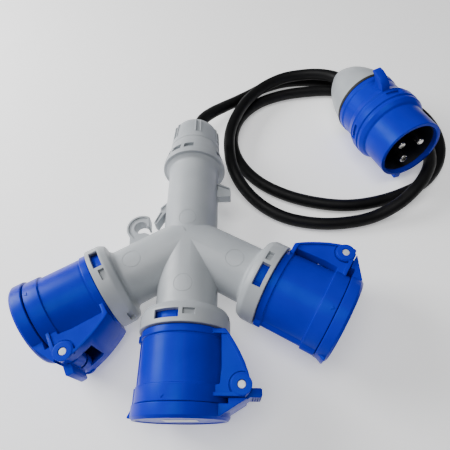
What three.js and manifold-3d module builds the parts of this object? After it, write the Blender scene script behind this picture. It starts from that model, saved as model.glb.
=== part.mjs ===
// Three-way power splitter: a grey Y-shaped housing with a cable gland, three blue industrial
// socket outlets with sprung hinged lids, and a rubber lead that ends in a blue round-pin plug.
// Millimetres, +Z up. The outlets lie flat; the middle one points to -Y and the gland to +Y.
import * as THREE from "three";
import { mergeVertices } from "three/addons/utils/BufferGeometryUtils.js";
import Module from "manifold-3d";

const wasm = await Module();
wasm.setup();

// ---- driving dimensions ----
const SEGMENTS = 32; // round outer surfaces
const SEGMENTS_SMALL = 12; // pins, holes and other small rounds
const AXIS_HEIGHT = 26.4; // tube axes above the surface it lies on
const STEM_R = 17.9; // gland tube
const ARM_R = 18.6; // outlet tubes
const WALL = 2.5;
const ARM_ANGLES = { left: -150, centre: -90, right: -30 }; // degrees from +X
const GLAND_ANGLE = 90;

const COLLAR_R = 26.4;
const COLLAR_START = 46;
const COLLAR_REAR = 49.2;
const COLLAR_FRONT = 60.4;
const COLLAR_BORE_R = 23.1;
const COLLAR_BORE_REAR = 50.4;

const DOME_FRONT = 80; // end of the moulded gland dome
const DOME_BORE_R = 15.4;
const NUT_START = 80.5;
const NUT_END = 103;
const NUT_R = 18.3;
const NUT_BORE_R = 5.1;
const NUT_SKIRT_R = 15;
const NUT_RIBS = 6;

const SOCKET_R = 24;
const SOCKET_RING_R = 25;
const SOCKET_FRONT = 99;
const SOCKET_BORE_R = 22.8;
const SPIGOT_R = 22.7;
const SPIGOT_BORE_R = 20.9;
const CORE_R = 19.2; // contact carrier
const CORE_FRONT = 93;
const LID_R = 26.3;
const LID_REAR = 99.4;
const LID_FRONT = 107;
const HINGE_U = 90.7;
const HINGE_V = 32.6;
const HINGE_PIN_R = 2.6;
const KNUCKLE_R = 5.3;
const BRACKET_W = 18; // half width of the hinge bracket
const BRACKET_SKIN = 2;
const BRACKET_WINDOW_W = 10;
const BRACKET_WINDOW_U = 78;
const SPRING_R = 3.8;
const SPRING_WIRE_R = 0.5;

const PIN_CIRCLE_R = 8.9;
const POLES = {
  l: { angle: 60, pin: 2.5 },
  n: { angle: -60, pin: 2.5 },
  pe: { angle: 180, pin: 3 },
}; // angle round the face from the hinge side, pin radius
const CORE_WIRE_R = 1.4;

const CORD_R = 4.6;
const CORD_SIDES = 10;
const PLUG_NOSE = [159.3, 75.7, 3.2];
const PLUG_HEADING = 108; // degrees from +X, nose to tail
const PLUG_TILT = 5.4;
const PLUG_ROLL = 5;
const PLUG_SHROUD_BORE_R = 19.7;
const PLUG_CARRIER_FRONT = 38;
const PLUG_CARRIER_REAR = 58;
const PLUG_MOUTH_R = 7.75;

// Cord centreline as x, y and height above the surface, gland first.
const CORD_ROUTE = [
  [0, 96, 26.4], [0.2, 106, 26.4], [3.6, 121, 25.6], [10.7, 134.6, 21.5], [20.7, 149.3, 15.5],
  [31.9, 163.6, 9.8], [43.8, 176.4, 6], [57.1, 186.8, 4.8], [77.2, 194.4, 4.7], [99.7, 195.6, 4.7],
  [122.2, 192.4, 4.7], [143.7, 185.6, 4.7], [163, 175.6, 4.7], [180.3, 161.7, 4.7], [193, 145.2, 4.7],
  [199.6, 125.2, 4.7], [199.5, 104.8, 4.7], [192.5, 84.9, 4.7], [178, 67.2, 4.7], [158.8, 56.3, 4.7],
  [137.4, 49.2, 4.7], [114.9, 46.5, 4.7], [91.3, 50.1, 4.7], [69.7, 58.2, 4.7], [50.7, 71, 4.7],
  [36.9, 88.2, 4.7], [29.4, 108.9, 4.7], [29.5, 129.5, 4.7], [37, 149.5, 4.7], [53, 166.3, 4.7],
  [74.1, 175.7, 4.7], [97.7, 179.6, 4.7], [121.2, 179.7, 4.7], [143.6, 173.8, 4.7], [163, 162, 4.7],
  [178.3, 144.3, 4.7], [186.8, 123.2, 4.9], [188, 103.2, 6.8], [184.3, 86.1, 11.2], [177.1, 70.3, 14.5],
  [166.1, 55, 15.2], [151.6, 42.7, 11], [133.2, 34.8, 5.6], [110.7, 30.5, 4.7], [88.2, 31, 4.7],
  [66.6, 37.3, 4.7], [49.1, 49, 6], [36.3, 62.6, 10.6], [28.8, 78.2, 14.3], [25.9, 97.1, 14.5],
  [26.2, 116.6, 14.5], [31.4, 137, 14.4], [42, 158.4, 14.4], [57.4, 175.6, 14.4], [75.8, 186.9, 14.4],
  [94.9, 190, 14.9], [107.7, 187.7, 16.3], [119, 181.2, 18.2], [126.4, 172.9, 19.8], [130.6, 164.1, 20.9],
];

// ---- materials ----
const COLOURS = {
  grey: [0xa9adb1, 0.5, 0],
  blue: [0x1238b8, 0.35, 0],
  black: [0x151517, 0.7, 0],
  dark: [0x1c1f24, 0.5, 0],
  steel: [0xb9bcc0, 0.3, 1],
  brass: [0xc9ac62, 0.3, 1],
  nickel: [0xc8c6be, 0.25, 1],
  brown: [0x6b3f22, 0.5, 0],
  lightBlue: [0x2f7fd0, 0.5, 0],
  green: [0x5f9e2f, 0.5, 0],
  clear: [0xd8dade, 0.3, 0],
};
const radians = (degrees) => THREE.MathUtils.degToRad(degrees);

// ---- solid modelling helpers ----
function solid(geometry) {
  const loose = geometry.index ? geometry.toNonIndexed() : geometry;
  const bare = new THREE.BufferGeometry();
  bare.setAttribute("position", loose.getAttribute("position"));
  const merged = mergeVertices(bare, 1e-4);
  const mesh = new wasm.Mesh({
    numProp: 3,
    vertProperties: merged.attributes.position.array,
    triVerts: new Uint32Array(merged.index.array),
  });
  return new wasm.Manifold(mesh);
}

function geometryOf(body) {
  const mesh = body.getMesh();
  const geometry = new THREE.BufferGeometry();
  geometry.setAttribute("position", new THREE.BufferAttribute(mesh.vertProperties, 3));
  geometry.setIndex(new THREE.BufferAttribute(mesh.triVerts, 1));
  const flat = geometry.toNonIndexed();
  flat.computeVertexNormals();
  return flat;
}

// A closed [u, radius] profile turned round the u axis (+X).
function turned(profile, segments = SEGMENTS) {
  const points = profile.map(([u, r]) => new THREE.Vector2(r, u));
  const area = THREE.ShapeUtils.area(points);
  const ordered = area > 0 ? points : points.reverse();
  ordered.push(ordered[0].clone());
  const geometry = new THREE.LatheGeometry(ordered, segments);
  geometry.rotateZ(-Math.PI / 2);
  return solid(geometry);
}

function rod(u0, u1, r, segments = SEGMENTS) {
  return turned([[u0, 0], [u0, r], [u1, r], [u1, 0]], segments);
}

function ring(u0, u1, inner, outer, segments = SEGMENTS) {
  return turned([[u0, inner], [u0, outer], [u1, outer], [u1, inner]], segments);
}

// A polygon in the u, v plane between two heights.
function prism(points, w0, w1) {
  const shape = new THREE.Shape(points.map(([u, v]) => new THREE.Vector2(u, v)));
  const geometry = new THREE.ExtrudeGeometry(shape, { depth: w1 - w0, bevelEnabled: false });
  geometry.translate(0, 0, w0);
  return solid(geometry);
}

// A polygon in the v, w plane between two stations along u.
function plate(points, u0, u1) {
  const shape = new THREE.Shape(points.map(([v, w]) => new THREE.Vector2(v, w)));
  const geometry = new THREE.ExtrudeGeometry(shape, { depth: u1 - u0, bevelEnabled: false });
  const axes = new THREE.Matrix4().makeBasis(
    new THREE.Vector3(0, 1, 0),
    new THREE.Vector3(0, 0, 1),
    new THREE.Vector3(1, 0, 0),
  );
  geometry.applyMatrix4(axes);
  geometry.translate(u0, 0, 0);
  return solid(geometry);
}

// A polygon in the u, w plane, as thick as the given v range.
function web(points, v0, v1) {
  const shape = new THREE.Shape(points.map(([u, w]) => new THREE.Vector2(u, w)));
  const geometry = new THREE.ExtrudeGeometry(shape, { depth: v1 - v0, bevelEnabled: false });
  geometry.rotateX(Math.PI / 2);
  geometry.translate(0, v1, 0);
  return solid(geometry);
}

function box(u0, u1, v0, v1, w0, w1) {
  return prism([[u0, v0], [u1, v0], [u1, v1], [u0, v1]], w0, w1);
}

// A block between two angles (0 at the top, + towards +v) and two radii round the u axis.
function wedge(u0, u1, a0, a1, r0, r1) {
  const steps = 4;
  const angles = Array.from({ length: steps + 1 }, (_, i) => radians(a0 + ((a1 - a0) * i) / steps));
  const outer = angles.map((a) => [r1 * Math.sin(a), r1 * Math.cos(a)]);
  const inner = angles.map((a) => [r0 * Math.sin(a), r0 * Math.cos(a)]).reverse();
  return plate([...outer, ...inner], u0, u1);
}

function column(u, v, w0, w1, r, segments = SEGMENTS_SMALL) {
  const geometry = new THREE.CylinderGeometry(r, r, w1 - w0, segments);
  geometry.rotateX(Math.PI / 2);
  geometry.translate(u, v, (w0 + w1) / 2);
  return solid(geometry);
}

function moved(body, u, v, w) {
  return body.translate([u, v, w]);
}

function circle(r, sides) {
  const points = Array.from({ length: sides }, (_, i) => {
    const a = (2 * Math.PI * i) / sides;
    return new THREE.Vector2(r * Math.cos(a), r * Math.sin(a));
  });
  return new THREE.Shape(points);
}

function tube(points, r, sides, stepsPerPoint) {
  const path = new THREE.CatmullRomCurve3(
    points.map((p) => new THREE.Vector3(...p)),
    false,
    "centripetal",
  );
  const steps = Math.round((points.length - 1) * stepsPerPoint);
  return new THREE.ExtrudeGeometry(circle(r, sides), { steps, bevelEnabled: false, extrudePath: path });
}

function joined(...bodies) {
  return bodies.reduce((whole, body) => whole.add(body));
}

// ---- frames ----
const group = new THREE.Group();
const splitterNodes = [];
const turnAboutZ = (degrees) => new THREE.Matrix4().makeRotationZ(radians(degrees));
const STEM_FRAME = new THREE.Matrix4();
const GLAND_FRAME = turnAboutZ(GLAND_ANGLE);
const PLUG_FRAME = new THREE.Matrix4()
  .makeTranslation(...PLUG_NOSE)
  .multiply(turnAboutZ(PLUG_HEADING))
  .multiply(new THREE.Matrix4().makeRotationY(radians(PLUG_TILT)))
  .multiply(new THREE.Matrix4().makeRotationX(radians(PLUG_ROLL)));

function place(name, shape, colour, frame, onSplitter = true) {
  const geometry = shape.isBufferGeometry ? shape : geometryOf(shape);
  geometry.applyMatrix4(frame);
  const [hex, roughness, metalness] = COLOURS[colour];
  const material = new THREE.MeshStandardMaterial({ color: hex, roughness, metalness });
  const mesh = new THREE.Mesh(geometry, material);
  mesh.name = name;
  group.add(mesh);
  if (onSplitter) splitterNodes.push(mesh);
}

const rotated = (body, degrees) => body.rotate([0, 0, degrees]);
const polePlace = (pole) => [
  PIN_CIRCLE_R * Math.cos(radians(pole.angle)),
  PIN_CIRCLE_R * Math.sin(radians(pole.angle)),
];

// ---- body housing ----
function armShell() {
  const collar = [
    [COLLAR_START, ARM_R - 1], [COLLAR_START, ARM_R], [COLLAR_START + 1.5, ARM_R + 0.6],
    [COLLAR_START + 2.4, ARM_R + 2.2], [COLLAR_START + 2.6, COLLAR_R - 1.6],
    [COLLAR_REAR, COLLAR_R - 0.5], [COLLAR_REAR + 0.8, COLLAR_R], [COLLAR_FRONT, COLLAR_R],
    [COLLAR_FRONT, ARM_R - 1],
  ];
  return joined(rod(0, COLLAR_START + 1, ARM_R), turned(collar));
}

function armBore() {
  return joined(
    rod(0, COLLAR_FRONT + 1, ARM_R - WALL),
    rod(COLLAR_BORE_REAR, COLLAR_FRONT + 1, COLLAR_BORE_R),
  );
}

function armWindows() {
  return joined(
    wedge(52.8, 57.9, -31, 0, 20, 30),
    wedge(52.8, 56.2, 4.7, 19, 24.6, 30),
    wedge(51, 54, 74, 94, 24.6, 30),
  );
}

function glandShell() {
  const dome = [
    [61, STEM_R - 1], [61, STEM_R], [62.8, STEM_R + 0.5], [63.7, STEM_R + 1.7],
    [63.9, 22.2], [64.4, 22.7], [67, 22.7], [69.5, 22.1], [72, 21], [76, 19.7], [DOME_FRONT, 18.5],
    [DOME_FRONT, STEM_R - 3],
  ];
  return joined(rod(0, 62, STEM_R), turned(dome));
}

function glandSlots() {
  return joined(
    wedge(68.5, 72, -5, 13, 19.6, 26),
    wedge(68.5, 72, 20, 40, 19.6, 26),
    wedge(68.5, 72, -70, -52, 19.6, 26),
  );
}

const HOOK_CENTRE = [-33.5, 13.5];
function hookOutline() {
  const arc = (r, a0, a1, steps) =>
    Array.from({ length: steps + 1 }, (_, i) => {
      const a = radians(a0 + ((a1 - a0) * i) / steps);
      return [HOOK_CENTRE[0] + r * Math.cos(a), HOOK_CENTRE[1] + r * Math.sin(a)];
    });
  return [
    ...arc(10, 62, 225, 10),
    [-39.6, -4], [-26, 2], [-25.6, 7.2], [-29, 8.8],
    ...arc(4.5, -60, -350, 12),
    [-27.8, 14.1],
  ];
}

function bodyHousing() {
  const arms = Object.values(ARM_ANGLES);
  const shells = arms.map((angle) => rotated(armShell(), angle));
  const bores = arms.map((angle) => rotated(armBore(), angle));
  const windows = arms.map((angle) => rotated(armWindows(), angle));
  const stemBore = joined(rod(0, 62, STEM_R - WALL), rod(61, DOME_FRONT + 1, DOME_BORE_R));
  const strapClip = [
    [-16.8, 34.8], [-22.9, 27.8], [-24.7, 14.6], [-21.2, 13.8], [-19, 27], [-16.8, 26.6],
  ];
  const sideLug = [[16.8, 37], [27, 37], [27, 44.6], [16.8, 49.6]];
  const outside = joined(
    ...shells,
    rotated(glandShell(), GLAND_ANGLE),
    prism(hookOutline(), -4, 4),
    prism(strapClip, -4, 4),
    prism(sideLug, -3.5, 3.5),
  );
  const inside = joined(...bores, rotated(stemBore, GLAND_ANGLE), ...windows);
  return outside.subtract(inside).subtract(rotated(glandSlots(), GLAND_ANGLE));
}

place("body_housing", bodyHousing(), "grey", STEM_FRAME);

// ---- cable gland ----
function glandNut() {
  const shell = turned([
    [70, NUT_SKIRT_R - 2], [70, NUT_SKIRT_R], [NUT_START, NUT_SKIRT_R], [NUT_START, NUT_R - 0.4],
    [NUT_START + 0.8, NUT_R], [95, NUT_R], [98.5, NUT_R - 0.6], [101.5, NUT_R - 2], [NUT_END, NUT_R - 3.6],
    [NUT_END, NUT_BORE_R], [98, NUT_BORE_R], [98, NUT_SKIRT_R - 4], [84, NUT_SKIRT_R - 2],
  ]);
  const ribs = Array.from({ length: NUT_RIBS }, (_, i) => {
    const at = -8 + (360 / NUT_RIBS) * i;
    return joined(
      wedge(87.6, 96.7, at - 8.5, at - 5, NUT_R - 1.5, NUT_R + 0.5),
      wedge(87.6, 96.7, at + 5, at + 8.5, NUT_R - 1.5, NUT_R + 0.5),
    );
  });
  return joined(shell, ...ribs);
}

place("gland_nut", glandNut(), "grey", GLAND_FRAME);
place("gland_seal", ring(84.5, 95.6, 3.2, 10.4, SEGMENTS_SMALL * 2), "black", GLAND_FRAME);
place("cable_clamp", ring(66, 84, 3.6, 12.4, 24), "dark", GLAND_FRAME);

// ---- socket outlets ----
function socketHousing() {
  const shell = turned([
    [50.8, SPIGOT_BORE_R], [50.8, SPIGOT_R], [61, SPIGOT_R], [61, 24.5], [63.2, 24.5],
    [63.2, SOCKET_R], [90.4, SOCKET_R], [90.6, SOCKET_RING_R], [SOCKET_FRONT, SOCKET_RING_R],
    [SOCKET_FRONT, SOCKET_BORE_R], [63, SOCKET_BORE_R], [63, SPIGOT_BORE_R],
  ]);
  const outline = [
    [62, 17.4], [61.9, 24.5], [65, 26.8], [69.3, 29.4], [74, 31.9], [79.6, 34.4], [85.5, 36.3],
    [91, 37.4], [94.1, 36.5], [96.4, 34.1], [96.2, 18.4], [94.2, 18.4], [94.2, 19.4], [90.7, 19.4],
    [90.3, 21.6], [82.5, 22.5], [64.4, 22.3], [64.4, 17.4],
  ];
  const pocket = [
    [64, 23.9], [69.8, 27.8], [74.5, 30.3], [80.1, 32.7], [85.9, 34.6], [90.9, 35.5],
    [93.4, 34.8], [94.2, 33.6], [94.2, 23.9],
  ];
  const inner = BRACKET_W - BRACKET_SKIN;
  const bracket = prism(outline, -BRACKET_W, BRACKET_W)
    .subtract(prism(pocket, -inner, inner))
    .subtract(box(BRACKET_WINDOW_U, 100, 20, 40, -BRACKET_WINDOW_W, BRACKET_WINDOW_W))
    .subtract(rod(60, 98, SOCKET_R - 0.6))
    .subtract(column(HINGE_U, HINGE_V, -BRACKET_W - 1, BRACKET_W + 1, HINGE_PIN_R + 0.15, 20));
  const bosses = joined(
    ...[-1, 1].map((side) =>
      column(HINGE_U, HINGE_V, side < 0 ? -18.7 : 16.5, side < 0 ? -16.5 : 18.7, 4.6, 20).subtract(
        column(HINGE_U, HINGE_V, -20, 20, HINGE_PIN_R + 0.15, 20),
      ),
    ),
  );
  const keyRib = joined(
    moved(rod(63, 91, 4.2, 20), 0, -21.4, 0),
    moved(rod(90.5, SOCKET_FRONT, 5, 20), 0, -21.8, 0),
  ).subtract(rod(60, 100, SOCKET_BORE_R + 0.4));
  const keyway = box(70, 100, -24.2, -20, -2.8, 2.8);
  const rearLug = box(57.6, 61.5, -22.6, -20.9, -4.5, 4.5);
  return joined(shell, bracket, bosses, keyRib, rearLug).subtract(keyway);
}

function socketLid() {
  const cap = turned([
    [LID_REAR, 24], [LID_REAR, LID_R], [105.2, LID_R], [106.4, LID_R - 0.5], [LID_FRONT, LID_R - 1.8],
    [LID_FRONT, 0], [104.5, 0], [104.5, 24],
  ]);
  const sideWalls = [
    [LID_REAR, 19], [106, 19], [105, 21.5], [97, 34.6], [96.8, 33.8], [96.8, 25.8], [LID_REAR, 25.8],
  ];
  const bridge = [
    [LID_REAR, 19], [106, 19], [105, 21.5], [95.4, 37.4], [HINGE_U + 0.8, 37.8], [HINGE_U, 36],
    [HINGE_U, 28], [96.8, 27.3], [96.8, 25.8], [LID_REAR, 25.8],
  ];
  const lever = [
    [HINGE_U + 0.6, 36], [95.9, 36], [96, 42.2], [95, 43], [91.9, 43], [HINGE_U + 0.6, 42.2],
  ];
  const lip = box(100.5, 103.3, -27.4, -24.6, -4, 4);
  const grip = 9.6;
  const seat = rod(LID_REAR - 1, 104.5, 24);
  return joined(
    prism(sideWalls, -16, 16),
    prism(bridge, -grip, grip),
    prism(lever, -grip, grip),
    column(HINGE_U, HINGE_V, -grip, grip, KNUCKLE_R, 24),
  )
    .subtract(seat)
    .subtract(column(HINGE_U, HINGE_V, -4.4, 4.4, 4.9, 20))
    .subtract(box(HINGE_U - 6, 95.8, 26, 30.4, -4.4, 4.4))
    .subtract(column(HINGE_U, HINGE_V, -20, 20, HINGE_PIN_R + 0.3, 20))
    .add(cap)
    .add(lip);
}

function lidSpring() {
  const turns = 3;
  const perTurn = 10;
  const pitch = 1.5;
  const count = turns * perTurn;
  const coil = Array.from({ length: count + 1 }, (_, i) => {
    const a = -Math.PI / 2 + (2 * Math.PI * i) / perTurn;
    const w = pitch * (i / perTurn - turns / 2);
    return [HINGE_U + SPRING_R * Math.cos(a), HINGE_V + SPRING_R * Math.sin(a), w];
  });
  const first = coil[0];
  const last = coil[count];
  const housingLeg = [HINGE_U - 8, first[1] - 0.6, first[2]];
  const lidLeg = [HINGE_U + 4.3, last[1], last[2]];
  const points = [housingLeg, ...coil, lidLeg];
  return tube(points, SPRING_WIRE_R, 6, 1);
}

function contactCarrier() {
  const block = turned([
    [56, 0], [56, CORE_R], [63.4, CORE_R], [63.4, 22.4], [65.5, 22.4], [65.5, CORE_R],
    [CORE_FRONT, CORE_R], [CORE_FRONT, 0],
  ], 28);
  return Object.values(POLES).reduce((body, pole) => {
    const [v, w] = polePlace(pole);
    return body
      .subtract(moved(rod(50, CORE_FRONT - 3.7, pole.pin + 1.6, SEGMENTS_SMALL), 0, v, w))
      .subtract(moved(rod(80, CORE_FRONT + 1, pole.pin + 0.4, SEGMENTS_SMALL), 0, v, w));
  }, block);
}

function contactSleeve(pole) {
  const [v, w] = polePlace(pole);
  const sleeve = turned([
    [53, 0], [53, pole.pin + 1.3], [CORE_FRONT - 4, pole.pin + 1.3],
    [CORE_FRONT - 4, pole.pin + 0.2], [64, pole.pin + 0.2], [64, 0],
  ], SEGMENTS_SMALL);
  return moved(sleeve, 0, v, w);
}

for (const [side, angle] of Object.entries(ARM_ANGLES)) {
  const frame = turnAboutZ(angle);
  const pin = column(HINGE_U, HINGE_V, -18.9, 18.9, HINGE_PIN_R, 20);
  place(`${side}_socket_housing`, socketHousing(), "blue", frame);
  place(`${side}_lid`, socketLid(), "blue", frame);
  place(`${side}_hinge_pin`, pin, "steel", frame);
  place(`${side}_lid_spring`, lidSpring(), "steel", frame);
  place(`${side}_lid_seal`, ring(LID_REAR - 0.1, 104.2, 21.4, 23.7, 28), "black", frame);
  place(`${side}_contact_carrier`, contactCarrier(), "dark", frame);
  for (const [name, pole] of Object.entries(POLES)) {
    place(`${side}_contact_${name}`, contactSleeve(pole), "brass", frame);
  }
}

// ---- inner wiring ----
const SPLICE_FRONT = 8;
const SPLICE_REAR = 22;
const WIRE_COLOURS = { l: "brown", n: "lightBlue", pe: "green" };
const CLAMP_REAR = 65.5;

for (const [name, pole] of Object.entries(POLES)) {
  const [contactV, height] = polePlace(pole);
  const spliceOutline = [
    [-6.4, SPLICE_FRONT], [6.4, SPLICE_FRONT], [6.4, SPLICE_REAR - 2], [4.4, SPLICE_REAR],
    [-4.4, SPLICE_REAR], [-6.4, SPLICE_REAR - 2],
  ];
  place(`splice_${name}`, prism(spliceOutline, height - 2.6, height + 2.6), "clear", STEM_FRAME);
  const feed = [
    [0, CLAMP_REAR, height * 0.24], [0, 58, height * 0.3], [0, 40, height * 0.8],
    [0, 30, height], [0, SPLICE_REAR + 0.3, height],
  ];
  place(`feed_core_${name}`, tube(feed, 0.8, 6, 2), WIRE_COLOURS[name], STEM_FRAME);
  Object.entries(ARM_ANGLES).forEach(([side, angle], index) => {
    const start = [(index - 1) * 4, SPLICE_FRONT - 1.2, height];
    const bend = [(index - 1) * 6, SPLICE_FRONT - 5, height];
    const to = (u) => {
      const at = new THREE.Vector3(u, contactV, height).applyMatrix4(turnAboutZ(angle));
      return at.toArray();
    };
    const branch = [start, bend, to(30), to(44), to(52.7)];
    const core = tube(branch, CORE_WIRE_R, 6, 2);
    place(`${side}_core_${name}`, core, WIRE_COLOURS[name], STEM_FRAME);
  });
}

// ---- lead and plug ----
const cordPoints = CORD_ROUTE.map(([x, y, height]) => [x, y, height - AXIS_HEIGHT]);
place("supply_cord", tube(cordPoints, CORD_R, CORD_SIDES, 1.3), "black", STEM_FRAME, false);

function plugHousing() {
  const shell = turned([
    [0, PLUG_SHROUD_BORE_R], [0, 22.2], [22, 22.6], [24, 24.4], [29, 26], [38, 26], [40, 24.8],
    [46, 24.8], [47, 23.2], [59.6, 23.2], [60, 23.6], [62.5, 23.6], [62.5, PLUG_SHROUD_BORE_R],
  ]);
  const key = web([[0, -25.6], [26, -25.6], [26, -21], [0, -21]], -2.3, 2.3)
    .subtract(rod(-1, 30, PLUG_SHROUD_BORE_R + 0.6));
  const fin = web([
    [41, 22.5], [43.5, 27], [47, 30.2], [51, 32.2], [55, 33], [57, 32.8], [57.2, 22.5],
  ], -3, 3);
  const slots = [0, 90, 180, 270].map((at) => wedge(34, 38.6, at - 8, at + 9, 24.2, 30));
  return joined(shell, key, fin).subtract(joined(...slots));
}

function plugBackshell() {
  return turned([
    [64, 19.6], [64, 22.5], [72, 21.2], [76, 20.2], [86, 17.8], [92, 15.9], [96, 14], [99.5, 11.8],
    [102.5, 9.8], [104, 8.6], [104, PLUG_MOUTH_R], [96, PLUG_MOUTH_R], [93.4, 12.2], [86, 15.4],
    [76, 17.8], [70, 19],
  ]);
}

function plugCarrier() {
  const block = rod(PLUG_CARRIER_FRONT, PLUG_CARRIER_REAR, PLUG_SHROUD_BORE_R - 0.3, 28);
  return Object.values(POLES).reduce((body, pole) => {
    const [y, z] = plugPole(pole);
    return body.subtract(moved(rod(30, 70, pole.pin + 0.15, SEGMENTS_SMALL), 0, y, z));
  }, block);
}

// The plug face is the mirror of the socket face, with the earth pin at the bottom.
function plugPole(pole) {
  const a = radians(pole.angle + 90);
  return [PIN_CIRCLE_R * Math.cos(a), PIN_CIRCLE_R * Math.sin(a)];
}

place("plug_housing", plugHousing(), "blue", PLUG_FRAME, false);
place("plug_backshell", plugBackshell(), "grey", PLUG_FRAME, false);
place("plug_pin_carrier", plugCarrier(), "dark", PLUG_FRAME, false);
place("plug_seal_ring", ring(62.8, 63.7, 20.2, 23, 28), "black", PLUG_FRAME, false);
place("plug_cord_clamp", ring(80, 91.7, 3.6, 11.6, 24), "dark", PLUG_FRAME, false);
for (const [name, pole] of Object.entries(POLES)) {
  const [y, z] = plugPole(pole);
  const pin = turned([
    [1.5, 0], [1.5, pole.pin - 1], [3, pole.pin], [61, pole.pin], [61, 0],
  ], SEGMENTS_SMALL);
  place(`plug_pin_${name}`, moved(pin, 0, y, z), "nickel", PLUG_FRAME, false);
  const core = [
    [79.6, y * 0.24, z * 0.24], [75, y * 0.3, z * 0.3], [67, y * 0.9, z * 0.9],
    [64, y, z], [61.4, y, z],
  ];
  place(`plug_core_${name}`, tube(core, 0.8, 6, 2), WIRE_COLOURS[name], PLUG_FRAME, false);
}

// ---- origin: centre of the splitter's footprint, on the surface ----
const extent = new THREE.Box3();
for (const mesh of splitterNodes) {
  mesh.geometry.computeBoundingBox();
  extent.union(mesh.geometry.boundingBox);
}
const centre = extent.getCenter(new THREE.Vector3());
for (const mesh of group.children) {
  mesh.geometry.translate(-centre.x, -centre.y, -extent.min.z);
}

export default group;
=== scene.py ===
"""Looks of the three-way power splitter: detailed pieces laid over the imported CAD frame."""
import math

import bmesh
import bpy
from mathutils import Matrix, Vector


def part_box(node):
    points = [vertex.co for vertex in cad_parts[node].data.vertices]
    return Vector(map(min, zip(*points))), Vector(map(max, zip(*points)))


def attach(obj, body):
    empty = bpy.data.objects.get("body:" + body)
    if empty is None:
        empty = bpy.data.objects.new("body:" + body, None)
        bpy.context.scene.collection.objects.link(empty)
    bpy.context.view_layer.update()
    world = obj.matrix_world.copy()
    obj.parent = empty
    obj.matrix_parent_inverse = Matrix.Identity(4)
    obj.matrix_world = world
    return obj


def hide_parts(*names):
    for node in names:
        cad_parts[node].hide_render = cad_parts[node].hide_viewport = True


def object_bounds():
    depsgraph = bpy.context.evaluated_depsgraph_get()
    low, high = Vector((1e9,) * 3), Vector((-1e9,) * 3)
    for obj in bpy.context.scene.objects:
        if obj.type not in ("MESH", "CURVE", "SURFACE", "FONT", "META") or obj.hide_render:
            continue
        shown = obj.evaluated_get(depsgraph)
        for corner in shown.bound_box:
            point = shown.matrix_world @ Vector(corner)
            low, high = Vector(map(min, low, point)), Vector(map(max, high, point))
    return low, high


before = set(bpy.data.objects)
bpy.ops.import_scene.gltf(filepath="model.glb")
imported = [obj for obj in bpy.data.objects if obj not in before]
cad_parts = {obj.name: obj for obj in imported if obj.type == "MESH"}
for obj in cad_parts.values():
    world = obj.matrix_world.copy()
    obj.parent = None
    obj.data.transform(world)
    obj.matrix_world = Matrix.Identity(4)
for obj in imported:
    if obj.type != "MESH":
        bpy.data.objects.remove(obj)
cad_box = [list(p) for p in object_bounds()]
MM = 0.001

# ---- shared places, in millimetres, all measured from the junction of the four tubes ----
PIN_U, PIN_V = 90.7, 32.6
pin_low, pin_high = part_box("centre_hinge_pin")
JUNCTION = Vector(
    (
        (pin_low.x + pin_high.x) / 2 / MM - PIN_V,
        (pin_low.y + pin_high.y) / 2 / MM + PIN_U,
        (pin_low.z + pin_high.z) / 2 / MM,
    )
)
AXIS_HEIGHT = JUNCTION.z
SIDES = {"left": -150, "centre": -90, "right": -30}
POLES = {"l": (60, 2.5), "n": (-60, 2.5), "pe": (180, 3.0)}
PIN_CIRCLE = 8.9


def turn(degrees, axis="Z"):
    return Matrix.Rotation(math.radians(degrees), 4, axis)


AT_JUNCTION = Matrix.Translation(JUNCTION)
PLUG_NOSE = (159.3, 75.7, 3.2)
PLUG_HEADING = 108
PLUG_TILT = 5.4
PLUG_ROLL = 5
PLUG_FRAME = (
    AT_JUNCTION
    @ Matrix.Translation(PLUG_NOSE)
    @ turn(PLUG_HEADING)
    @ turn(PLUG_TILT, "Y")
    @ turn(PLUG_ROLL, "X")
)

# ---- camera: its place from the junction, and which way its right and up point ----
CAMERA_PLACE = Vector((33.53, -119.47, 199.06))
CAMERA_RIGHT = Vector((0.99871, 0.00304, -0.05060))
CAMERA_UP = Vector((0.02059, 0.88785, 0.45966))
camera_data = bpy.data.cameras.new("camera")
camera_data.lens = 28.07
camera_data.sensor_width = 36
camera_data.clip_start = 0.01
camera_data.shift_y = 0.0946
camera = bpy.data.objects.new("camera", camera_data)
camera_back = CAMERA_RIGHT.cross(CAMERA_UP)
basis = Matrix((CAMERA_RIGHT, CAMERA_UP, camera_back)).transposed().to_4x4()
camera.matrix_world = Matrix.Translation((JUNCTION + CAMERA_PLACE) * MM) @ basis
bpy.context.scene.collection.objects.link(camera)
bpy.context.scene.camera = camera


# ---- node materials ----
def node(tree, kind, **inputs):
    made = tree.nodes.new(kind)
    for key, value in inputs.items():
        made.inputs[key.replace("_", " ")].default_value = value
    return made


def ramp(tree, source, low, high, from_min=0.3, from_max=0.7):
    made = tree.nodes.new("ShaderNodeMapRange")
    made.inputs["From Min"].default_value = from_min
    made.inputs["From Max"].default_value = from_max
    made.inputs["To Min"].default_value = low
    made.inputs["To Max"].default_value = high
    tree.links.new(source, made.inputs["Value"])
    return made.outputs["Result"]


def noise(tree, coords, scale, detail=3.0, roughness=0.5):
    made = node(tree, "ShaderNodeTexNoise", Scale=scale, Detail=detail, Roughness=roughness)
    tree.links.new(coords, made.inputs["Vector"])
    return made.outputs["Fac"]


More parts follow.
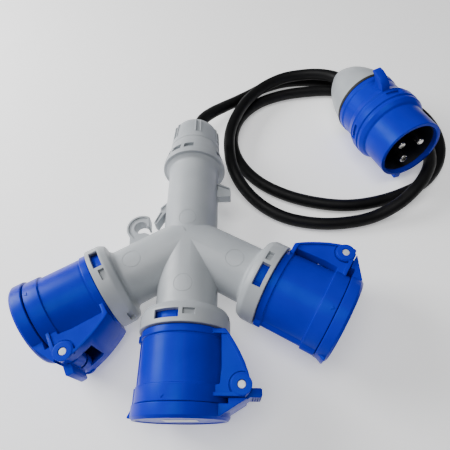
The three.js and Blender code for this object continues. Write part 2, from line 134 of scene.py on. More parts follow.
def plastic(
    name, dark, light, rough, grain,
    bevel=0.0004, specular=0.5, metallic=0.0, extra=None, tint=(1.0, 1.0, 1.0),
):
    """Moulded surface: two close tones in soft clouds, fine grain, uneven gloss and rounded edges."""
    material = bpy.data.materials.new(name)
    material.use_nodes = True
    tree = material.node_tree
    shader = tree.nodes["Principled BSDF"]
    coords = tree.nodes.new("ShaderNodeTexCoord").outputs["Object"]
    clouds = noise(tree, coords, 38, 4)
    colour = tree.nodes.new("ShaderNodeMix")
    colour.data_type = "RGBA"
    colour.inputs["A"].default_value = (*dark, 1)
    colour.inputs["B"].default_value = (*light, 1)
    tree.links.new(ramp(tree, clouds, 0, 1), colour.inputs["Factor"])
    base = colour.outputs["Result"]
    if extra:
        base = extra(tree, coords, base)
    tree.links.new(base, shader.inputs["Base Color"])
    smudges = noise(tree, coords, 120, 5, 0.6)
    tree.links.new(ramp(tree, smudges, rough[0], rough[1]), shader.inputs["Roughness"])
    shader.inputs["Specular IOR Level"].default_value = specular
    shader.inputs["Specular Tint"].default_value = (*tint, 1)
    shader.inputs["Metallic"].default_value = metallic
    bump = tree.nodes.new("ShaderNodeBump")
    bump.inputs["Strength"].default_value = grain[1]
    bump.inputs["Distance"].default_value = 0.0001
    tree.links.new(noise(tree, coords, grain[0], 2), bump.inputs["Height"])
    if bevel:
        rounded = tree.nodes.new("ShaderNodeBevel")
        rounded.samples = 4
        rounded.inputs["Radius"].default_value = bevel
        tree.links.new(rounded.outputs["Normal"], bump.inputs["Normal"])
    tree.links.new(bump.outputs["Normal"], shader.inputs["Normal"])
    return material


def earth_stripes(tree, coords, base):
    wave = node(tree, "ShaderNodeTexWave", Scale=90.0, Distortion=0.0)
    wave.bands_direction = "DIAGONAL"
    tree.links.new(coords, wave.inputs["Vector"])
    mix = tree.nodes.new("ShaderNodeMix")
    mix.data_type = "RGBA"
    mix.inputs["B"].default_value = (0.80, 0.66, 0.05, 1)
    tree.links.new(base, mix.inputs["A"])
    tree.links.new(ramp(tree, wave.outputs["Fac"], 0, 1, 0.6, 0.66), mix.inputs["Factor"])
    return mix.outputs["Result"]


def dust(tree, coords, base):
    specks = noise(tree, coords, 900, 2, 0.7)
    mix = tree.nodes.new("ShaderNodeMix")
    mix.data_type = "RGBA"
    mix.inputs["B"].default_value = (0.02, 0.02, 0.021, 1)
    tree.links.new(base, mix.inputs["A"])
    tree.links.new(ramp(tree, specks, 0, 0.6, 0.62, 0.75), mix.inputs["Factor"])
    return mix.outputs["Result"]


GREY = plastic("grey_polyamide", (0.36, 0.385, 0.41), (0.42, 0.445, 0.465), (0.36, 0.5), (5200, 0.22))
BLUE = plastic(
    "blue_polyamide", (0.0010, 0.0075, 0.40), (0.0016, 0.012, 0.50), (0.28, 0.37), (4200, 0.14),
    specular=0.17, tint=(0.2, 0.55, 1.0),
)
BLACK = plastic(
    "black_rubber", (0.003, 0.003, 0.0035), (0.006, 0.006, 0.0065), (0.42, 0.6), (2600, 0.3),
    bevel=0, specular=0.16, extra=dust,
)
SEAL = plastic("seal_rubber", (0.008, 0.008, 0.009), (0.014, 0.014, 0.015), (0.6, 0.8), (2600, 0.3))
DARK = plastic("dark_insert", (0.010, 0.012, 0.018), (0.018, 0.020, 0.028), (0.35, 0.55), (3600, 0.25))
STEEL = plastic(
    "bright_steel", (0.55, 0.56, 0.58), (0.66, 0.67, 0.68), (0.22, 0.4), (3000, 0.2), metallic=1.0,
)
PIN_END = plastic("pin_end", (0.55, 0.57, 0.60), (0.68, 0.69, 0.71), (0.3, 0.5), (3000, 0.2), metallic=0.2)
NICKEL = plastic(
    "nickel_plate", (0.62, 0.60, 0.55), (0.74, 0.72, 0.67), (0.14, 0.3), (2500, 0.15), metallic=1.0,
)
BRASS = plastic("brass", (0.60, 0.44, 0.17), (0.72, 0.55, 0.24), (0.2, 0.4), (2500, 0.2), metallic=1.0)
CLEAR = plastic("pale_splice", (0.55, 0.57, 0.6), (0.65, 0.67, 0.7), (0.15, 0.3), (2500, 0.1))
BROWN = plastic("brown_core", (0.11, 0.045, 0.018), (0.15, 0.06, 0.025), (0.3, 0.5), (2500, 0.2), bevel=0)
NEUTRAL = plastic("blue_core", (0.02, 0.16, 0.45), (0.03, 0.20, 0.55), (0.3, 0.5), (2500, 0.2), bevel=0)
EARTH = plastic(
    "earth_core", (0.06, 0.30, 0.05), (0.08, 0.36, 0.06), (0.3, 0.5), (2500, 0.2),
    bevel=0, extra=earth_stripes,
)
LABEL = plastic("white_label", (0.74, 0.75, 0.76), (0.80, 0.81, 0.82), (0.35, 0.5), (3000, 0.1))


# ---- mesh helpers: everything is built in millimetres and placed in metres ----
def new_object(name, build):
    build.verts.ensure_lookup_table()
    bmesh.ops.remove_doubles(build, verts=build.verts, dist=1e-4)
    bmesh.ops.recalc_face_normals(build, faces=build.faces)
    mesh = bpy.data.meshes.new(name)
    build.to_mesh(mesh)
    build.free()
    obj = bpy.data.objects.new(name, mesh)
    bpy.context.scene.collection.objects.link(obj)
    return obj


def soften(points, steps):
    """Closed profile whose corners may carry a rounding radius as a third number."""
    out = []
    count = len(points)
    for i, point in enumerate(points):
        radius = point[2] if len(point) > 2 else 0
        here = Vector(point[:2])
        if not radius:
            out.append(here)
            continue
        before = Vector(points[i - 1][:2]) - here
        after = Vector(points[(i + 1) % count][:2]) - here
        half = before.angle(after) / 2
        reach = min(radius / math.tan(half), before.length * 0.49, after.length * 0.49)
        start = here + before.normalized() * reach
        end = here + after.normalized() * reach
        for k in range(steps + 1):
            t = k / steps
            out.append(start.lerp(here, t).lerp(here.lerp(end, t), t))
    return out


def turned(profile, segments=96):
    """A closed outline of (along, radius) points turned round the X axis."""
    points = soften(profile, 6)
    build = bmesh.new()
    rings = []
    for u, r in points:
        ring = []
        for k in range(segments):
            a = 2 * math.pi * k / segments
            ring.append(build.verts.new((u, r * math.cos(a), r * math.sin(a))))
        rings.append(ring)
    for i in range(len(rings)):
        a, b = rings[i], rings[(i + 1) % len(rings)]
        for k in range(segments):
            m = (k + 1) % segments
            if points[i][1] < 1e-6 and points[(i + 1) % len(rings)][1] < 1e-6:
                continue
            build.faces.new((a[k], a[m], b[m], b[k]))
    return new_object("turned", build)


def rod(u0, u1, r, segments=64):
    return turned([(u0, 0), (u0, r), (u1, r), (u1, 0)], segments)


def extruded(outline, low, high, put, bevel):
    """An outline swept from low to high, where put says which axis the sweep follows."""
    points = soften(outline, 4)
    build = bmesh.new()
    bottom = [build.verts.new(put(a, b, low)) for a, b in points]
    face = build.faces.new(bottom)
    top = bmesh.ops.extrude_face_region(build, geom=[face])
    moved = [e for e in top["geom"] if isinstance(e, bmesh.types.BMVert)]
    offset = Vector(put(0, 0, high)) - Vector(put(0, 0, low))
    bmesh.ops.translate(build, verts=moved, vec=offset)
    bmesh.ops.recalc_face_normals(build, faces=build.faces)
    if bevel:
        caps = [f for f in build.faces if len(f.verts) == len(points)]
        edges = {e for f in caps for e in f.edges}
        bmesh.ops.bevel(
            build, geom=list(edges), offset=bevel, segments=2, profile=0.5,
            affect="EDGES", clamp_overlap=True,
        )
    return new_object("extruded", build)


def prism(outline, w0, w1, bevel=0.0):
    return extruded(outline, w0, w1, lambda a, b, h: (a, b, h), bevel)


def plate(outline, u0, u1, bevel=0.0):
    return extruded(outline, u0, u1, lambda a, b, h: (h, a, b), bevel)


def web(outline, v0, v1, bevel=0.0):
    return extruded(outline, v0, v1, lambda a, b, h: (a, h, b), bevel)


def block(u0, u1, v0, v1, w0, w1):
    return prism([(u0, v0), (u1, v0), (u1, v1), (u0, v1)], w0, w1)


def wedge(u0, u1, a0, a1, r0, r1, bevel=0.0):
    """A block between two angles (0 at the top, + towards +Y) and two radii round the X axis."""
    steps = max(4, round(abs(a1 - a0) / 3))
    angles = [math.radians(a0 + (a1 - a0) * k / steps) for k in range(steps + 1)]
    outer = [(r1 * math.sin(a), r1 * math.cos(a)) for a in angles]
    inner = [(r0 * math.sin(a), r0 * math.cos(a)) for a in reversed(angles)]
    return plate(outer + inner, u0, u1, bevel)


def column(u, v, w0, w1, r, segments=48, edge=0.0):
    made = turned([(w0, 0), (w0, r, edge), (w1, r, edge), (w1, 0)], segments)
    made.data.transform(Matrix.Translation((u, v, 0)) @ turn(-90, "Y"))
    return made


def at_pin(w0, w1, r, segments=48, edge=0.0):
    """A column round the hinge pin's axis."""
    return column(PIN_U, PIN_V, w0, w1, r, segments, edge)


def shifted(obj, u=0.0, v=0.0, w=0.0):
    obj.data.transform(Matrix.Translation((u, v, w)))
    return obj


def spun(obj, degrees, axis="Z"):
    obj.data.transform(turn(degrees, axis))
    return obj


def combine(target, operation, tools):
    for tool in tools:
        step = target.modifiers.new("step", "BOOLEAN")
        step.operation = operation
        step.solver = "MANIFOLD"
        step.object = tool
    bpy.context.view_layer.update()
    graph = bpy.context.evaluated_depsgraph_get()
    result = bpy.data.meshes.new_from_object(target.evaluated_get(graph))
    target.modifiers.clear()
    target.data = result
    for tool in tools:
        bpy.data.objects.remove(tool)
    return target


def union(target, *tools):
    return combine(target, "UNION", tools)


def cut(target, *tools):
    return combine(target, "DIFFERENCE", tools)


def finish_piece(obj, name, matrix, body, material, nodes, sharp=32):
    obj.name = name
    obj.data.name = name
    obj.data.transform(Matrix.Scale(MM, 4) @ matrix)
    obj.data.polygons.foreach_set("use_smooth", [True] * len(obj.data.polygons))
    obj.data.set_sharp_from_angle(angle=math.radians(sharp))
    obj.data.materials.clear()
    obj.data.materials.append(material)
    obj.data.update()
    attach(obj, body)
    if nodes:
        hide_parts(*nodes)
    return obj


def smooth_path(points, samples):
    """Centripetal Catmull-Rom curve through the points."""
    pts = [Vector(p) for p in points]
    pts = [pts[0] * 2 - pts[1]] + pts + [pts[-1] * 2 - pts[-2]]
    out = []
    for i in range(1, len(pts) - 2):
        p0, p1, p2, p3 = pts[i - 1 : i + 3]
        d0, d1, d2 = (math.sqrt((b - a).length) for a, b in ((p0, p1), (p1, p2), (p2, p3)))
        t1 = ((p1 - p0) / d0 - (p2 - p0) / (d0 + d1) + (p2 - p1) / d1) * d1
        t2 = ((p2 - p1) / d1 - (p3 - p1) / (d1 + d2) + (p3 - p2) / d2) * d1
        for k in range(samples):
            t = k / samples
            a = t * t
            b = t * t * t
            start = p1 * (2 * b - 3 * a + 1) + t1 * (b - 2 * a + t)
            out.append(start + p2 * (3 * a - 2 * b) + t2 * (b - a))
    out.append(pts[-2])
    return out


def wire(name, points, radius, sides):
    """A swept round tube with closed ends, in millimetres."""
    build = bmesh.new()
    rings = []
    normal = None
    for i, p in enumerate(points):
        ahead = points[min(i + 1, len(points) - 1)]
        behind = points[max(i - 1, 0)]
        tangent = (ahead - behind).normalized()
        if normal is None:
            normal = tangent.orthogonal().normalized()
        normal = (normal - tangent * normal.dot(tangent)).normalized()
        side = tangent.cross(normal)
        ring = []
        for k in range(sides):
            a = 2 * math.pi * k / sides
            ring.append(build.verts.new(p + (normal * math.cos(a) + side * math.sin(a)) * radius))
        rings.append(ring)
    for a, b in zip(rings, rings[1:]):
        for k in range(sides):
            m = (k + 1) % sides
            build.faces.new((a[k], a[m], b[m], b[k]))
    build.faces.new(rings[0])
    build.faces.new(rings[-1])
    return new_object(name, build)


# ---- the lead: x and y from the junction and height above the surface, as in the CAD ----
CORD_ROUTE = [
    (0, 96, 26.4), (0.2, 106, 26.4), (3.6, 121, 25.6), (10.7, 134.6, 21.5), (20.7, 149.3, 15.5),
    (31.9, 163.6, 9.8), (43.8, 176.4, 6), (57.1, 186.8, 4.8), (77.2, 194.4, 4.7), (99.7, 195.6, 4.7),
    (122.2, 192.4, 4.7), (143.7, 185.6, 4.7), (163, 175.6, 4.7), (180.3, 161.7, 4.7), (193, 145.2, 4.7),
    (199.6, 125.2, 4.7), (199.5, 104.8, 4.7), (192.5, 84.9, 4.7), (178, 67.2, 4.7), (158.8, 56.3, 4.7),
    (137.4, 49.2, 4.7), (114.9, 46.5, 4.7), (91.3, 50.1, 4.7), (69.7, 58.2, 4.7), (50.7, 71, 4.7),
    (36.9, 88.2, 4.7), (29.4, 108.9, 4.7), (29.5, 129.5, 4.7), (37, 149.5, 4.7), (53, 166.3, 4.7),
    (74.1, 175.7, 4.7), (97.7, 179.6, 4.7), (121.2, 179.7, 4.7), (143.6, 173.8, 4.7), (163, 162, 4.7),
    (178.3, 144.3, 4.7), (186.8, 123.2, 4.9), (188, 103.2, 6.8), (184.3, 86.1, 11.2), (177.1, 70.3, 14.5),
    (166.1, 55, 15.2), (151.6, 42.7, 11), (133.2, 34.8, 5.6), (110.7, 30.5, 4.7), (88.2, 31, 4.7),
    (66.6, 37.3, 4.7), (49.1, 49, 6), (36.3, 62.6, 10.6), (28.8, 78.2, 14.3), (25.9, 97.1, 14.5),
    (26.2, 116.6, 14.5), (31.4, 137, 14.4), (42, 158.4, 14.4), (57.4, 175.6, 14.4), (75.8, 186.9, 14.4),
    (94.9, 190, 14.9), (107.7, 187.7, 16.3), (119, 181.2, 18.2), (126.4, 172.9, 19.8), (130.6, 164.1, 20.9),
]
CORD_DIAMETER = 9.2
route = [Vector((x, y, h - AXIS_HEIGHT)) + JUNCTION for x, y, h in CORD_ROUTE]
cord_line = smooth_path(route, 8)
curve = bpy.data.curves.new("supply_lead", "CURVE")
curve.dimensions = "3D"
spline = curve.splines.new("POLY")
spline.points.add(len(cord_line) - 1)
for target, p in zip(spline.points, cord_line):
    target.co = (*(p * MM), 1)
curve.bevel_depth = CORD_DIAMETER / 2 * MM
curve.bevel_resolution = 8
curve.use_fill_caps = True
spline.use_smooth = True
curve.materials.append(BLACK)
lead = bpy.data.objects.new("supply_lead", curve)
bpy.context.scene.collection.objects.link(lead)
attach(lead, "splitter")
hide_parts("supply_cord")


# ---- grey housing ----
SHOULDER = [
    (40, 14), (40, 18.6), (45.8, 18.6, 2.5), (47.6, 20.6, 2), (48.2, 24.6, 2.2), (51.8, 26.4, 4),
    (60.4, 26.4, 0.5), (60.4, 14),
]
DOME = [
    (58, 12), (58, 17.9), (61.6, 17.9, 2.4), (63.9, 20.6, 0.6), (63.9, 22.7, 0.7), (67, 22.7, 2),
    (72, 21.4, 5), (78, 19.6), (83, 18.5, 0.4), (83, 12),
]


HOOK_CENTRE = (-33.5, 13.5)


def hook_arc(r, a0, a1, steps):
    cx, cy = HOOK_CENTRE
    angles = (math.radians(a0 + (a1 - a0) * k / steps) for k in range(steps + 1))
    return [(cx + r * math.cos(a), cy + r * math.sin(a)) for a in angles]


def hook_outline():
    foot = [(-39.6, -4), (-26, 2), (-25.6, 7.2), (-29, 8.8)]
    return hook_arc(10, 62, 225, 26) + foot + hook_arc(4.5, -60, -350, 36) + [(-27.8, 14.1)]


def hook_panel():
    return hook_arc(8.6, 66, 232, 26) + [(-36.9, 4.4)] + hook_arc(5.9, 225, 56, 26)


STRAP_CLIP = [
    (-16.8, 34.8), (-21.8, 29.8, 0.8), (-21.6, 26.6), (-25.3, 17.4, 0.5), (-23.3, 15.6, 0.4), (-18.8, 24.2),
    (-16.8, 26.2),
]
STRAP_CLIP_PANELS = [
    [(-18.2, 31.9), (-20.9, 29.3), (-20.6, 27.2), (-18.2, 27.6)],
    [(-19.9, 25.4), (-21.2, 25.6), (-24.4, 17.9), (-23.5, 16.9)],
]
LUG = [(16.8, 38.4), (27, 38.4, 0.6), (27, 46, 0.8), (16.8, 51.4)]
LUG_PANEL = [(17.6, 44.2), (26, 44.2), (26, 45.4), (17.6, 49.4)]
LUG_PANEL_DEPTH = 0.62  # times z0: a recess above, but below it leaves a 0.1 mm hollow inside the lug
STEM_R = 17.9
ARM_R = 18.6
MOULD_MARKS = [
    # place along the tube, which tube, sideways tilt, the tube's radius
    (11.7, 90, 1.2, STEM_R),
    (36.8, -150, 0, ARM_R),
    (34.6, -90, 0, ARM_R),
    (35.6, -30, 5, ARM_R),
]
DOME_SLOTS = [(-5, 13), (20, 40), (46, 62), (-70, -52)]


def grey_housing():
    angles = list(SIDES.values())
    body = spun(rod(0, 60, STEM_R, 128), 90)
    parts = [spun(rod(0, 42, ARM_R, 128), a) for a in angles]
    parts += [spun(turned(SHOULDER, 128), a) for a in angles]
    parts += [spun(turned(DOME, 128), 90)]
    parts += [prism(hook_outline(), -4, 4, 0.35)]
    parts += [prism(STRAP_CLIP, -4, 4, 0.3)]
    parts += [prism(LUG, -3.5, 3.5, 0.3)]
    body = union(body, *parts)
    holes = [spun(rod(0, 62, 16.1, 96), a) for a in angles]
    holes += [spun(rod(50.4, 62, 23.1, 128), a) for a in angles]
    holes += [spun(rod(0, 62, 15.4, 96), 90), spun(rod(61, 85, 15.4, 96), 90)]
    for a in angles:
        holes += [
            spun(wedge(52.8, 57.9, -31, 0, 20, 30), a),
            spun(wedge(52.8, 57.9, -39, -30, 22.9, 25.4), a),
            spun(wedge(52.8, 56.2, 4.7, 19, 24.0, 30), a),
            spun(wedge(51, 54, 74, 94, 24.4, 30), a),
        ]
    for a0, a1 in DOME_SLOTS:
        holes += [spun(wedge(68.2, 73.2, a0, a1, 18.4, 26), 90)]
    for along, angle, tilt, r in MOULD_MARKS:
        disc = column(along, 0, 10, 20, 5.6, 64)
        mark = cut(disc, column(along, 0, 9, 21, 5.3, 64), rod(0, 60, r - 0.12, 128))
        holes += [spun(spun(mark, tilt, "X"), angle)]
    for z0, z1 in ((3, 5), (-5, -3)):
        holes += [prism(hook_panel(), z0, z1)]
        holes += [prism(panel, z0, z1) for panel in STRAP_CLIP_PANELS]
        holes += [prism(LUG_PANEL, z0 * LUG_PANEL_DEPTH, z1)]
    return cut(body, *holes)


finish_piece(
    grey_housing(), "housing", AT_JUNCTION, "splitter", GREY, ["body_housing"], sharp=13,
)


# ---- gland ----
def gland_nut():
    shell = turned(
        [
            (70, 13), (70, 15), (83.4, 15), (83.4, 18.0), (84, 18.5, 0.3), (91, 18.2), (99, 17.3, 2),
            (103.2, 16.0, 1.8), (105, 13.4, 1.2), (105, 5.1, 0.6), (99, 5.1), (99, 11), (86, 13),
        ],
        128,
    )
    ridge = [(88.2, 16), (88.2, 18.9, 0.4), (99.6, 18.1, 1.0), (101.4, 17.0, 0.4), (101.4, 15)]
    ribs = []
    grooves = []
    for k in range(6):
        angle = 12.5 - 60 * k
        for low, high in ((-2.4, -1.3), (1.3, 2.4)):
            ribs += [spun(web(ridge, low, high, 0.25), angle, "X")]
        grooves += [spun(block(88.4, 104, -1.2, 1.2, 17.0, 20), angle, "X")]
    return cut(union(shell, *ribs), *grooves)


finish_piece(
    gland_nut(), "gland_nut_ribbed", AT_JUNCTION @ turn(90), "splitter", GREY, ["gland_nut"],
)


# ---- socket housings ----
BRACKET = [
    (62, 17.4), (61.9, 24.5, 1.0), (65, 26.8), (69.3, 29.4), (74, 31.9), (79.6, 34.4), (85.5, 36.3, 4),
    (91, 37.4, 3), (94.1, 36.5, 2), (96.4, 34.1, 1.2), (96.2, 18.4), (94.2, 18.4), (94.2, 19.4),
    (90.7, 19.4, 0.5), (90.3, 21.6, 0.8), (82.5, 22.5), (64.4, 22.3), (64.4, 17.4),
]
BRACKET_POCKET = [
    (64, 23.9), (69.8, 27.8), (74.5, 30.3), (80.1, 32.7), (85.9, 34.6), (90.9, 35.5), (93.4, 34.8),
    (94.2, 33.6), (94.2, 23.9),
]
BRACKET_PANEL = [
    (64.6, 21.0), (64.6, 25.0), (69.6, 28.0), (74.3, 30.5), (79.9, 32.9), (85.7, 34.8), (91, 35.9),
    (94.2, 34.0), (94.2, 17.0), (84, 17.0),
]


def socket_housing():
    shell = turned(
        [
            (50.8, 20.9), (50.8, 22.7, 0.4), (60.9, 22.7), (61, 24.7, 0.3), (64.8, 24.7, 0.3),
            (65.1, 23.8, 0.1), (65.8, 23.8, 0.1), (66.1, 24.0), (90.2, 24.0, 0.15), (90.5, 25.1, 0.3),
            (99, 25.1, 0.5), (99, 22.8, 0.3), (63, 22.8), (63, 20.9),
        ],
        128,
    )
    bracket = prism(BRACKET, -18, 18, 0.35)
    bracket = union(bracket, at_pin(16.2, 18.3, 5.3, 64, 0.25), at_pin(-18.3, -16.2, 5.3, 64, 0.25))
    tools = [
        prism(BRACKET_POCKET, -16, 16),
        block(78, 100, 20, 40, -10, 10),
        rod(60, 98, 23.4, 128),
    ]
    for low, high in ((16.9, 19), (-19, -16.9)):
        tools += [cut(prism(BRACKET_PANEL, low, high), at_pin(low - 1, high + 1, 5.9))]
    for low, high in ((16.1, 17.5), (-17.5, -16.1)):
        tools += [cut(at_pin(low, high, 6.6, 64), at_pin(low - 1, high + 1, 5.9, 64))]
    bracket = cut(bracket, *tools)
    bracket = cut(bracket, at_pin(-20, 20, 2.3))
    rib_front = turned([(90.4, 0), (90.4, 5.0, 0.4), (99, 5.0, 0.5), (99, 0)], 48)
    rib_back = turned([(60.9, 0), (60.9, 4.6, 1.2), (65.4, 4.6, 0.8), (65.4, 0)], 48)
    rib = union(shifted(rod(63, 91, 4.2, 48), 0, -21.4), shifted(rib_front, 0, -21.8))
    rib = union(rib, shifted(rib_back, 0, -22.4))
    rib = cut(rib, rod(57, 100, 22.9, 128))
    latch = union(wedge(52.4, 58.4, -27, -4, 22.0, 23.0, 0.2), wedge(53.4, 54.4, -27, -4, 22.4, 23.05))
    shell = union(shell, bracket, rib, latch)
    mark = spun(prism([(97.8, 0), (96.2, 1.3), (96.2, -1.3)], 24.2, 25.35), 14, "X")
    shell = union(shell, mark)
    return cut(shell, block(70, 100, -24.2, -20, -2.8, 2.8))


# ---- lids ----
def socket_lid():
    cap = turned(
        [
            (99.4, 24.0, 0.2), (99.4, 26.3, 0.4), (105.2, 26.3, 0.5), (106.7, 25.2, 0.5), (106.7, 0),
            (104.5, 0), (104.5, 24.0),
        ],
        128,
    )
    walls = prism(
        [
            (99.4, 19), (106, 19), (105.2, 21.5, 0.8), (97.0, 35.4, 0.4), (96.8, 33.8), (96.8, 25.8),
            (99.4, 25.8),
        ],
        -16, 16, 0.5,
    )
    bridge = prism(
        [
            (99.4, 19), (106, 19), (105.2, 21.5, 0.8), (95.6, 37.2, 0.6), (91.5, 37.8), (90.7, 36),
            (90.7, 28), (96.8, 27.3), (96.8, 25.8), (99.4, 25.8),
        ],
        -9.6, 9.6, 0.4,
    )
    lever = prism(
        [(91.3, 36), (95.9, 36), (96, 42.2, 0.6), (95, 43, 0.5), (91.9, 43, 0.5), (91.3, 42.2, 0.5)],
        -9.6, 9.6, 0.4,
    )
    knuckle = at_pin(-9.6, 9.6, 5.3, 64, 0.3)
    lid = union(walls, bridge, lever, knuckle)
    serrations = [block(94.9, 97, 37.9 + 1.3 * k, 38.5 + 1.3 * k, -8.4, 8.4) for k in range(4)]
    spring_gap = [at_pin(-4.4, 4.4, 4.9), block(84.7, 95.8, 26, 30.4, -4.4, 4.4)]
    leg_slots = [block(84, PIN_U, 26.4, 38.6, -3.3, -1.2), block(84, PIN_U, 26, 32.2, 1.2, 3.3)]
    pin_hole = at_pin(-20, 20, 2.9, 40)
    lid = cut(lid, rod(98, 104.5, 24, 96), *spring_gap, *leg_slots, pin_hole, *serrations)
    lip = prism(
        [(101, -26), (104.6, -27.7, 0.4), (105.4, -27.7, 0.4), (105.4, -24.6), (101, -24.6)], -4.5, 4.5, 0.3,
    )
    dish = turned([(106.2, 0), (106.2, 23.4, 0.3), (108, 23.4), (108, 0)], 128)
    return cut(union(lid, cap, lip), dish)


def hinge_pin():
    return at_pin(-18.0, 18.0, 2.1, 48, 0.3)


def lid_spring():
    turns = 3
    per_turn = 24
    pitch = 1.5
    radius = 3.8
    wire_radius = 0.5
    coil = []
    for i in range(turns * per_turn + 1):
        a = -math.pi / 2 + 2 * math.pi * i / per_turn
        height = pitch * (i / per_turn - turns / 2)
        coil.append(Vector((PIN_U + radius * math.cos(a), PIN_V + radius * math.sin(a), height)))
    first = coil[0]
    last = coil[-1]
    first_leg = [Vector((PIN_U - 8, first.y - 0.6, first.z)), Vector((PIN_U - 4, first.y - 0.2, first.z))]
    last_leg = [Vector((PIN_U + 4.3, last.y, last.z))]
    return wire("spring", first_leg + coil + last_leg, wire_radius, 10)


def lid_seal():
    return turned([(99.3, 21.4, 0.8), (99.3, 23.7, 0.8), (104.2, 23.7, 0.3), (104.2, 21.4, 0.3)], 96)


def pole_place(name, extra=0):
    angle = math.radians(POLES[name][0] + extra)
    return PIN_CIRCLE * math.cos(angle), PIN_CIRCLE * math.sin(angle)


def contact_carrier():
    core = turned(
        [
            (56, 0), (56, 19.2), (63.4, 19.2), (63.4, 22.4, 0.3), (65.5, 22.4, 0.3), (65.5, 19.2),
            (93, 19.2, 0.8), (93, 0),
        ],
    )
    tools = []
    for name, (_, radius) in POLES.items():
        v, w = pole_place(name)
        chamber = rod(50, 89.3, radius + 1.6, 32)
        entry = rod(80, 94, radius + 0.4, 32)
        countersink = turned([(92.4, 0), (92.4, radius + 0.4), (93.2, radius + 1.2), (93.2, 0)], 32)
        tools += [shifted(tool, 0, v, w) for tool in (chamber, entry, countersink)]
    return cut(core, *tools)


def contact_sleeve(name):
    v, w = pole_place(name)
    r = POLES[name][1]
    sleeve = turned(
        [(53, 0), (53, r + 1.3, 0.3), (89, r + 1.3, 0.3), (89, r + 0.2, 0.3), (64, r + 0.2), (64, 0)], 32,
    )
    return shifted(sleeve, 0, v, w)


SOCKET_PIECES = [
    ("socket_housing", socket_housing, BLUE, "blue_housing", "splitter"),
    ("lid", socket_lid, BLUE, "blue_housing", "lid"),
    ("hinge_pin", hinge_pin, PIN_END, "steel_wire", "splitter"),
    ("lid_spring", lid_spring, STEEL, "steel_wire", "splitter"),
    ("lid_seal", lid_seal, SEAL, "rubber_seal", "lid"),
    ("contact_carrier", contact_carrier, DARK, "dark_insert", "splitter"),
    ("contact_l", lambda: contact_sleeve("l"), BRASS, "brass_contact", "splitter"),
    ("contact_n", lambda: contact_sleeve("n"), BRASS, "brass_contact", "splitter"),
    ("contact_pe", lambda: contact_sleeve("pe"), BRASS, "brass_contact", "splitter"),
]
for kind, build_piece, material, slot, rides_on in SOCKET_PIECES:
    master = build_piece()
    for side, angle in SIDES.items():
        piece = bpy.data.objects.new("copy", master.data.copy())
        bpy.context.scene.collection.objects.link(piece)
        body = "splitter" if rides_on == "splitter" else f"{side}_lid_body"
        place = AT_JUNCTION @ turn(angle)
        finish_piece(piece, f"{side}_{kind}_fine", place, body, material, [f"{side}_{kind}"])
    bpy.data.objects.remove(master)

label = plate([(-9, -6, 0.8), (9, -6, 0.8), (9, 6, 0.8), (-9, 6, 0.8)], 106.15, 106.35)
finish_piece(
    label, "centre_lid_label", AT_JUNCTION @ turn(SIDES["centre"]), "centre_lid_body",
    LABEL, [],
)


# ---- plug ----
def plug_housing():
    shell = turned(
        [
            (0, 19.7, 0.5), (0, 22.2, 0.5), (23, 22.6), (24.2, 24.0, 0.5), (27.2, 25.7, 1.2),
            (29.4, 25.7, 0.4), (29.9, 25.0, 0.2), (31.0, 25.0, 0.2), (31.5, 26.0, 0.4), (37.6, 26.0, 0.6),
            (38.4, 24.6, 0.3), (40.3, 24.6, 0.3), (41, 25.1, 0.3), (42.4, 24.6, 0.8), (46.5, 23.3, 1.5),
            (57.2, 23.1, 0.8), (58.4, 23.8, 0.4), (62.3, 23.8, 0.4), (62.3, 19.7),
        ],
        128,
    )
    key = web([(0, -25.6, 0.6), (26, -25.6), (26, -21), (0, -21)], -2.3, 2.3, 0.3)
    key = cut(key, rod(-1, 30, 20.6, 96))
    fin = web(
        [
            (40.6, 22.5), (41, 25.4), (42.6, 28.4), (45.2, 31), (48.5, 32.8), (52, 33.7), (56.6, 33.9, 0.8),
            (57, 32.6, 0.6), (54.2, 31.2), (52.6, 29.2), (52.0, 26.6), (52.8, 24.2), (54.5, 22.5),
        ],
        -3, 3, 0.5,
    )
    fin = spun(fin, -13, "X")
    slots = [wedge(33.4, 38.4, at - 15, at + 11, 23.4, 30) for at in (8, 98, 188, 278)]
    return cut(union(shell, key, fin), *slots)


def plug_backshell():
    return turned(
        [
            (65.4, 19.6), (65.4, 22.8, 0.4), (72, 22.2), (79, 20.9), (85, 19.2), (90.5, 17.2), (95.5, 14.9),
            (100, 12.1), (103.4, 9.6), (105.2, 8.4, 0.5), (105.2, 7.75, 0.3), (96, 7.75), (93.4, 12.2),
            (86, 15.4), (76, 17.8), (70, 19),
        ],
        128,
    )


def plug_carrier():
    block_core = turned([(38, 0), (38, 19.4, 0.5), (58, 19.4), (58, 0)], 96)
    bosses = []
    for name, (_, radius) in POLES.items():
        y, z = pole_place(name, 90)
        boss = turned([(36, 0), (36, radius + 1.6, 0.4), (39, radius + 1.6), (39, 0)], 40)
        bosses += [shifted(boss, 0, y, z)]
    # painted shade: this thin dark sleeve along the plug's bore, in the dark insert material, stands in for
    # the shadow inside the blue housing; it is no real part of the plug
    painted_shade_sleeve = turned([(3.5, 19.1), (3.5, 19.5), (39, 19.5), (39, 19.1)], 96)
    block_core = union(block_core, painted_shade_sleeve, *bosses)
    holes = []
    for name, (_, radius) in POLES.items():
        y, z = pole_place(name, 90)
        holes += [shifted(rod(30, 70, radius + 0.1, 32), 0, y, z)]
    return cut(block_core, *holes)


def plug_pin(name):
    y, z = pole_place(name, 90)
    r = POLES[name][1]
    return shifted(turned([(1.5, 0), (1.5, r, 1.6), (61, r), (61, 0)], 40), 0, y, z)


def plug_seal_ring():
    return turned([(62.5, 20.2), (62.5, 24.0, 0.3), (65.2, 23.8, 0.4), (65.2, 20.2)])


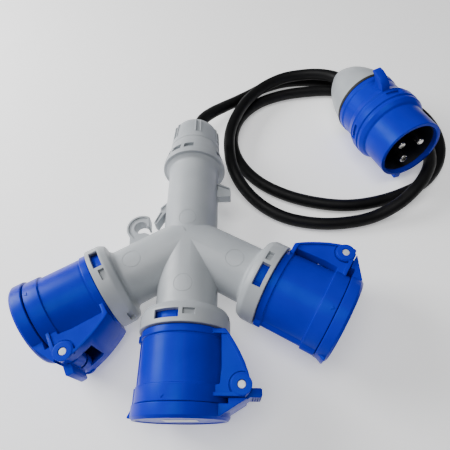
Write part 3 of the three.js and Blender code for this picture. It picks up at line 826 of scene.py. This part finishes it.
PLUG_PIECES = [
    ("plug_housing", plug_housing, BLUE, "blue_housing"),
    ("plug_backshell", plug_backshell, GREY, "grey_housing"),
    ("plug_pin_carrier", plug_carrier, DARK, "dark_insert"),
    ("plug_seal_ring", plug_seal_ring, SEAL, "rubber_seal"),
    ("plug_pin_l", lambda: plug_pin("l"), NICKEL, "nickel_pin"),
    ("plug_pin_n", lambda: plug_pin("n"), NICKEL, "nickel_pin"),
    ("plug_pin_pe", lambda: plug_pin("pe"), NICKEL, "nickel_pin"),
]
on_lead = []
for kind, build_piece, material, slot in PLUG_PIECES:
    piece = finish_piece(build_piece(), f"{kind}_fine", PLUG_FRAME, "splitter", material, [kind])
    on_lead.append(piece)
on_lead += [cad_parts[n] for n in ("plug_cord_clamp", "plug_core_l", "plug_core_n", "plug_core_pe")]

# ---- inner pieces keep their CAD shape and take a finish ----
INNER = {
    "gland_seal": SEAL, "cable_clamp": DARK, "plug_cord_clamp": DARK, "splice_": CLEAR, "core_l": BROWN,
    "core_n": NEUTRAL, "core_pe": EARTH,
}
for name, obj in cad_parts.items():
    for key, material in INNER.items():
        if key in name:
            obj.data.materials.clear()
            obj.data.materials.append(material)

# ---- floor and lights ----
floor_mesh = bpy.data.meshes.new("floor")
floor_mesh.from_pydata([(-4, -4, 0), (4, -4, 0), (4, 4, 0), (-4, 4, 0)], [], [(0, 1, 2, 3)])
floor = bpy.data.objects.new("floor", floor_mesh)
floor.location.z = cad_box[0][2] - 0.0002
bpy.context.scene.collection.objects.link(floor)
floor_material = bpy.data.materials.new("floor")
floor_material.use_nodes = True
floor_shader = floor_material.node_tree.nodes["Principled BSDF"]
floor_shader.inputs["Base Color"].default_value = (0.92, 0.92, 0.92, 1)
floor_shader.inputs["Roughness"].default_value = 0.9
floor_shader.inputs["Emission Color"].default_value = (1, 1, 1, 1)
floor_shader.inputs["Emission Strength"].default_value = 0.42
floor_mesh.materials.append(floor_material)

world = bpy.data.worlds.new("studio")
world.use_nodes = True
world.node_tree.nodes["Background"].inputs["Color"].default_value = (0.95, 0.97, 1.0, 1)
world.node_tree.nodes["Background"].inputs["Strength"].default_value = 0.11
bpy.context.scene.world = world


def softbox(name, direction, distance, size, power, aim=(0.03, 0.02, 0.02)):
    data = bpy.data.lights.new(name, "AREA")
    data.shape = "RECTANGLE"
    data.size, data.size_y = size
    data.energy = power
    obj = bpy.data.objects.new(name, data)
    offset = Vector(direction).normalized() * distance
    obj.location = Vector(aim) + offset
    obj.rotation_euler = offset.to_track_quat("Z", "Y").to_euler()
    bpy.context.scene.collection.objects.link(obj)


softbox("key", (-0.80, 0.36, 0.50), 0.75, (0.4, 0.42), 8.6, (-0.03, -0.01, 0.02))
softbox("top", (-0.15, -0.1, 1.0), 1.2, (0.7, 0.7), 8.8)
softbox("front", (-0.25, -0.8, 0.75), 1.4, (0.5, 0.5), 0.4)
